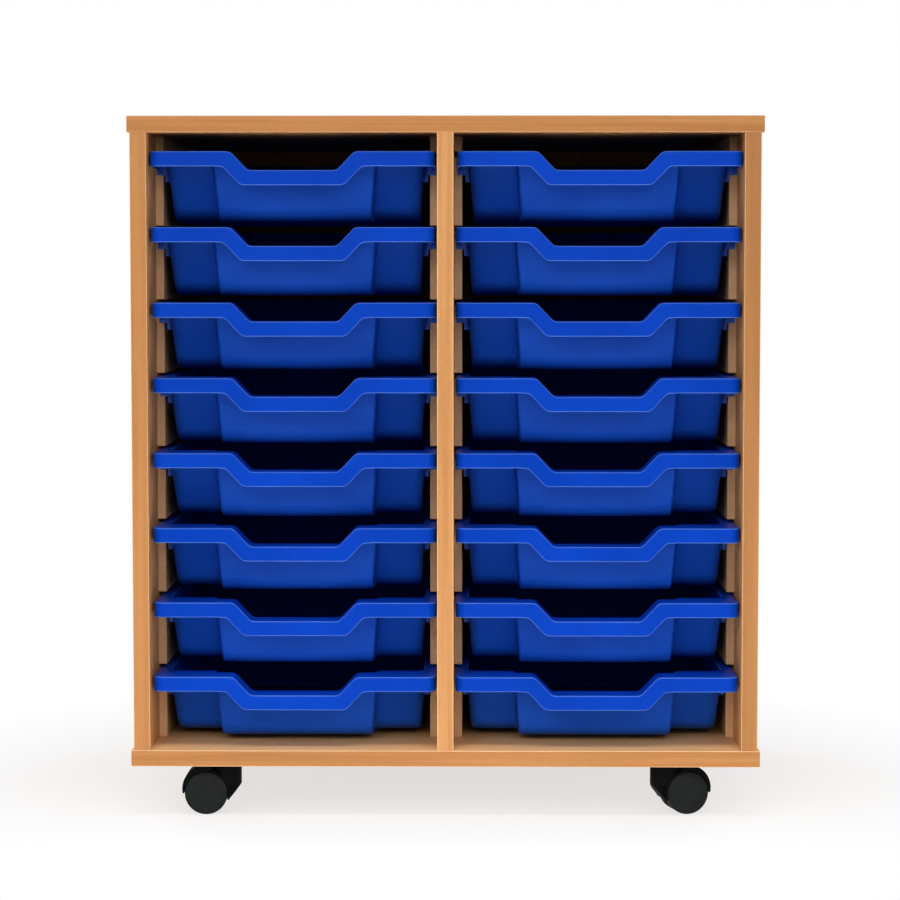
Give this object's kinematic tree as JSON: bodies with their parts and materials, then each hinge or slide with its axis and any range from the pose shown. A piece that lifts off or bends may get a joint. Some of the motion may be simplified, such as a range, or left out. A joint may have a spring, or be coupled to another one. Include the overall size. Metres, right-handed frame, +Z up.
{
  "type": "classroom tray storage unit",
  "caption": "Mobile beech-faced classroom cabinet with columns of shallow blue plastic trays that slide in slotted runners, on twin-wheel swivel casters.",
  "frame": {"origin": "on the floor, under the middle of the unit", "axes": "+X to the unit's right as seen from the front, the open front faces -Y, +Z up"},
  "size_m": [0.693, 0.48, 0.7723],
  "materials": {
    "beech_board": "satin beech melamine with fine straight grain",
    "beech_lipping": "satin beech edge strip with rounded arrises",
    "back_board": "matt beech-faced thin board",
    "runner_board": "matt beech-faced board with cut edges",
    "tray_plastic": "royal blue moulded plastic, satin gloss",
    "hood_plastic": "black moulded nylon",
    "wheel_plastic": "dark grey moulded nylon",
    "caster_steel": "zinc-plated steel"
  },
  "bodies": {
    "carcass": {"top_panel": "beech_board", "bottom_panel": "beech_board", "left_side_panel": "beech_board", "right_side_panel": "beech_board", "centre_divider": "beech_board", "back_panel": "back_board", "top_front_lipping": "beech_lipping", "top_left_lipping": "beech_lipping", "top_right_lipping": "beech_lipping", "bottom_front_lipping": "beech_lipping", "bottom_left_lipping": "beech_lipping", "bottom_right_lipping": "beech_lipping", "left_side_front_lipping": "beech_lipping", "right_side_front_lipping": "beech_lipping", "divider_front_lipping": "beech_lipping", "left_bay_left_runner": "runner_board", "left_bay_right_runner": "runner_board", "right_bay_left_runner": "runner_board", "right_bay_right_runner": "runner_board", "front_left_caster_plate": "caster_steel", "front_right_caster_plate": "caster_steel", "rear_left_caster_plate": "caster_steel", "rear_right_caster_plate": "caster_steel"},
    "tray_left_1": {"tray_left_1": "tray_plastic"},
    "tray_left_2": {"tray_left_2": "tray_plastic"},
    "tray_left_3": {"tray_left_3": "tray_plastic"},
    "tray_left_4": {"tray_left_4": "tray_plastic"},
    "tray_left_5": {"tray_left_5": "tray_plastic"},
    "tray_left_6": {"tray_left_6": "tray_plastic"},
    "tray_left_7": {"tray_left_7": "tray_plastic"},
    "tray_left_8": {"tray_left_8": "tray_plastic"},
    "tray_right_1": {"tray_right_1": "tray_plastic"},
    "tray_right_2": {"tray_right_2": "tray_plastic"},
    "tray_right_3": {"tray_right_3": "tray_plastic"},
    "tray_right_4": {"tray_right_4": "tray_plastic"},
    "tray_right_5": {"tray_right_5": "tray_plastic"},
    "tray_right_6": {"tray_right_6": "tray_plastic"},
    "tray_right_7": {"tray_right_7": "tray_plastic"},
    "tray_right_8": {"tray_right_8": "tray_plastic"},
    "front_left_caster_swivel": {"front_left_caster_hood": "hood_plastic", "front_left_caster_axle": "caster_steel"},
    "front_left_caster_wheel_a": {"front_left_caster_wheel_a": "wheel_plastic"},
    "front_left_caster_wheel_b": {"front_left_caster_wheel_b": "wheel_plastic"},
    "front_right_caster_swivel": {"front_right_caster_hood": "hood_plastic", "front_right_caster_axle": "caster_steel"},
    "front_right_caster_wheel_a": {"front_right_caster_wheel_a": "wheel_plastic"},
    "front_right_caster_wheel_b": {"front_right_caster_wheel_b": "wheel_plastic"},
    "rear_left_caster_swivel": {"rear_left_caster_hood": "hood_plastic", "rear_left_caster_axle": "caster_steel"},
    "rear_left_caster_wheel_a": {"rear_left_caster_wheel_a": "wheel_plastic"},
    "rear_left_caster_wheel_b": {"rear_left_caster_wheel_b": "wheel_plastic"},
    "rear_right_caster_swivel": {"rear_right_caster_hood": "hood_plastic", "rear_right_caster_axle": "caster_steel"},
    "rear_right_caster_wheel_a": {"rear_right_caster_wheel_a": "wheel_plastic"},
    "rear_right_caster_wheel_b": {"rear_right_caster_wheel_b": "wheel_plastic"}
  },
  "joints": [
    {"name": "tray_left_1_slide", "type": "slide", "parent": "carcass", "child": "tray_left_1", "axis": [0, -1, 0], "range_m": [0, 0.34]},
    {"name": "tray_left_2_slide", "type": "slide", "parent": "carcass", "child": "tray_left_2", "axis": [0, -1, 0], "range_m": [0, 0.34]},
    {"name": "tray_left_3_slide", "type": "slide", "parent": "carcass", "child": "tray_left_3", "axis": [0, -1, 0], "range_m": [0, 0.34]},
    {"name": "tray_left_4_slide", "type": "slide", "parent": "carcass", "child": "tray_left_4", "axis": [0, -1, 0], "range_m": [0, 0.34]},
    {"name": "tray_left_5_slide", "type": "slide", "parent": "carcass", "child": "tray_left_5", "axis": [0, -1, 0], "range_m": [0, 0.34]},
    {"name": "tray_left_6_slide", "type": "slide", "parent": "carcass", "child": "tray_left_6", "axis": [0, -1, 0], "range_m": [0, 0.34]},
    {"name": "tray_left_7_slide", "type": "slide", "parent": "carcass", "child": "tray_left_7", "axis": [0, -1, 0], "range_m": [0, 0.34]},
    {"name": "tray_left_8_slide", "type": "slide", "parent": "carcass", "child": "tray_left_8", "axis": [0, -1, 0], "range_m": [0, 0.34]},
    {"name": "tray_right_1_slide", "type": "slide", "parent": "carcass", "child": "tray_right_1", "axis": [0, -1, 0], "range_m": [0, 0.34]},
    {"name": "tray_right_2_slide", "type": "slide", "parent": "carcass", "child": "tray_right_2", "axis": [0, -1, 0], "range_m": [0, 0.34]},
    {"name": "tray_right_3_slide", "type": "slide", "parent": "carcass", "child": "tray_right_3", "axis": [0, -1, 0], "range_m": [0, 0.34]},
    {"name": "tray_right_4_slide", "type": "slide", "parent": "carcass", "child": "tray_right_4", "axis": [0, -1, 0], "range_m": [0, 0.34]},
    {"name": "tray_right_5_slide", "type": "slide", "parent": "carcass", "child": "tray_right_5", "axis": [0, -1, 0], "range_m": [0, 0.34]},
    {"name": "tray_right_6_slide", "type": "slide", "parent": "carcass", "child": "tray_right_6", "axis": [0, -1, 0], "range_m": [0, 0.34]},
    {"name": "tray_right_7_slide", "type": "slide", "parent": "carcass", "child": "tray_right_7", "axis": [0, -1, 0], "range_m": [0, 0.34]},
    {"name": "tray_right_8_slide", "type": "slide", "parent": "carcass", "child": "tray_right_8", "axis": [0, -1, 0], "range_m": [0, 0.34]},
    {"name": "front_left_caster_turn", "type": "hinge", "parent": "carcass", "child": "front_left_caster_swivel", "pos_m": [-0.2445, -0.2, 0.0583], "axis": [0, 0, 1], "continuous": true},
    {"name": "front_left_caster_wheel_a_roll", "type": "hinge", "parent": "front_left_caster_swivel", "child": "front_left_caster_wheel_a", "pos_m": [-0.2667, -0.2, 0.0238], "axis": [0, -1, 0], "continuous": true},
    {"name": "front_left_caster_wheel_b_roll", "type": "hinge", "parent": "front_left_caster_swivel", "child": "front_left_caster_wheel_b", "pos_m": [-0.2667, -0.2, 0.0238], "axis": [0, -1, 0], "continuous": true},
    {"name": "front_right_caster_turn", "type": "hinge", "parent": "carcass", "child": "front_right_caster_swivel", "pos_m": [0.2445, -0.2, 0.0583], "axis": [0, 0, 1], "continuous": true},
    {"name": "front_right_caster_wheel_a_roll", "type": "hinge", "parent": "front_right_caster_swivel", "child": "front_right_caster_wheel_a", "pos_m": [0.26594, -0.19425, 0.0238], "axis": [-0.2588, 0.9659, 0], "continuous": true},
    {"name": "front_right_caster_wheel_b_roll", "type": "hinge", "parent": "front_right_caster_swivel", "child": "front_right_caster_wheel_b", "pos_m": [0.26594, -0.19425, 0.0238], "axis": [-0.2588, 0.9659, 0], "continuous": true},
    {"name": "rear_left_caster_turn", "type": "hinge", "parent": "carcass", "child": "rear_left_caster_swivel", "pos_m": [-0.2445, 0.2, 0.0583], "axis": [0, 0, 1], "continuous": true},
    {"name": "rear_left_caster_wheel_a_roll", "type": "hinge", "parent": "rear_left_caster_swivel", "child": "rear_left_caster_wheel_a", "pos_m": [-0.2667, 0.2, 0.0238], "axis": [0, -1, 0], "continuous": true},
    {"name": "rear_left_caster_wheel_b_roll", "type": "hinge", "parent": "rear_left_caster_swivel", "child": "rear_left_caster_wheel_b", "pos_m": [-0.2667, 0.2, 0.0238], "axis": [0, -1, 0], "continuous": true},
    {"name": "rear_right_caster_turn", "type": "hinge", "parent": "carcass", "child": "rear_right_caster_swivel", "pos_m": [0.2445, 0.2, 0.0583], "axis": [0, 0, 1], "continuous": true},
    {"name": "rear_right_caster_wheel_a_roll", "type": "hinge", "parent": "rear_right_caster_swivel", "child": "rear_right_caster_wheel_a", "pos_m": [0.26594, 0.20575, 0.0238], "axis": [-0.2588, 0.9659, 0], "continuous": true},
    {"name": "rear_right_caster_wheel_b_roll", "type": "hinge", "parent": "rear_right_caster_swivel", "child": "rear_right_caster_wheel_b", "pos_m": [0.26594, 0.20575, 0.0238], "axis": [-0.2588, 0.9659, 0], "continuous": true}
  ]
}
